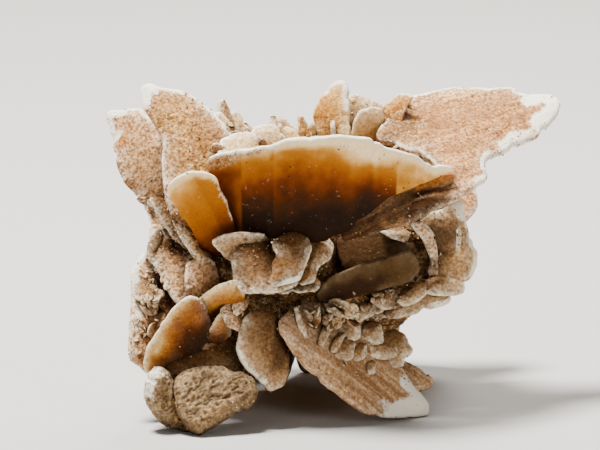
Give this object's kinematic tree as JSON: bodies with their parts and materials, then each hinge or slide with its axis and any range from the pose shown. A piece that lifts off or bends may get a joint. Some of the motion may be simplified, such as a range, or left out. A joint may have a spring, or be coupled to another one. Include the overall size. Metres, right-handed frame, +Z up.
{
  "type": "gypsum sand rose",
  "caption": "Desert rose mineral specimen: a cluster of lens-shaped sandy gypsum blades grown through each other, resting on its own uneven feet.",
  "frame": {"origin": "middle of the cluster's box on the surface that it rests on", "axes": "+Z up, +X to the right and +Y away from the viewer, seen from the side with the deep hollow blade"},
  "size_m": [0.1004, 0.0784, 0.0712],
  "materials": {
    "gypsum": "rough sandy crystal with pale frosted rims"
  },
  "bodies": {
    "root": {"sand_rose": "gypsum"}
  },
  "joints": []
}
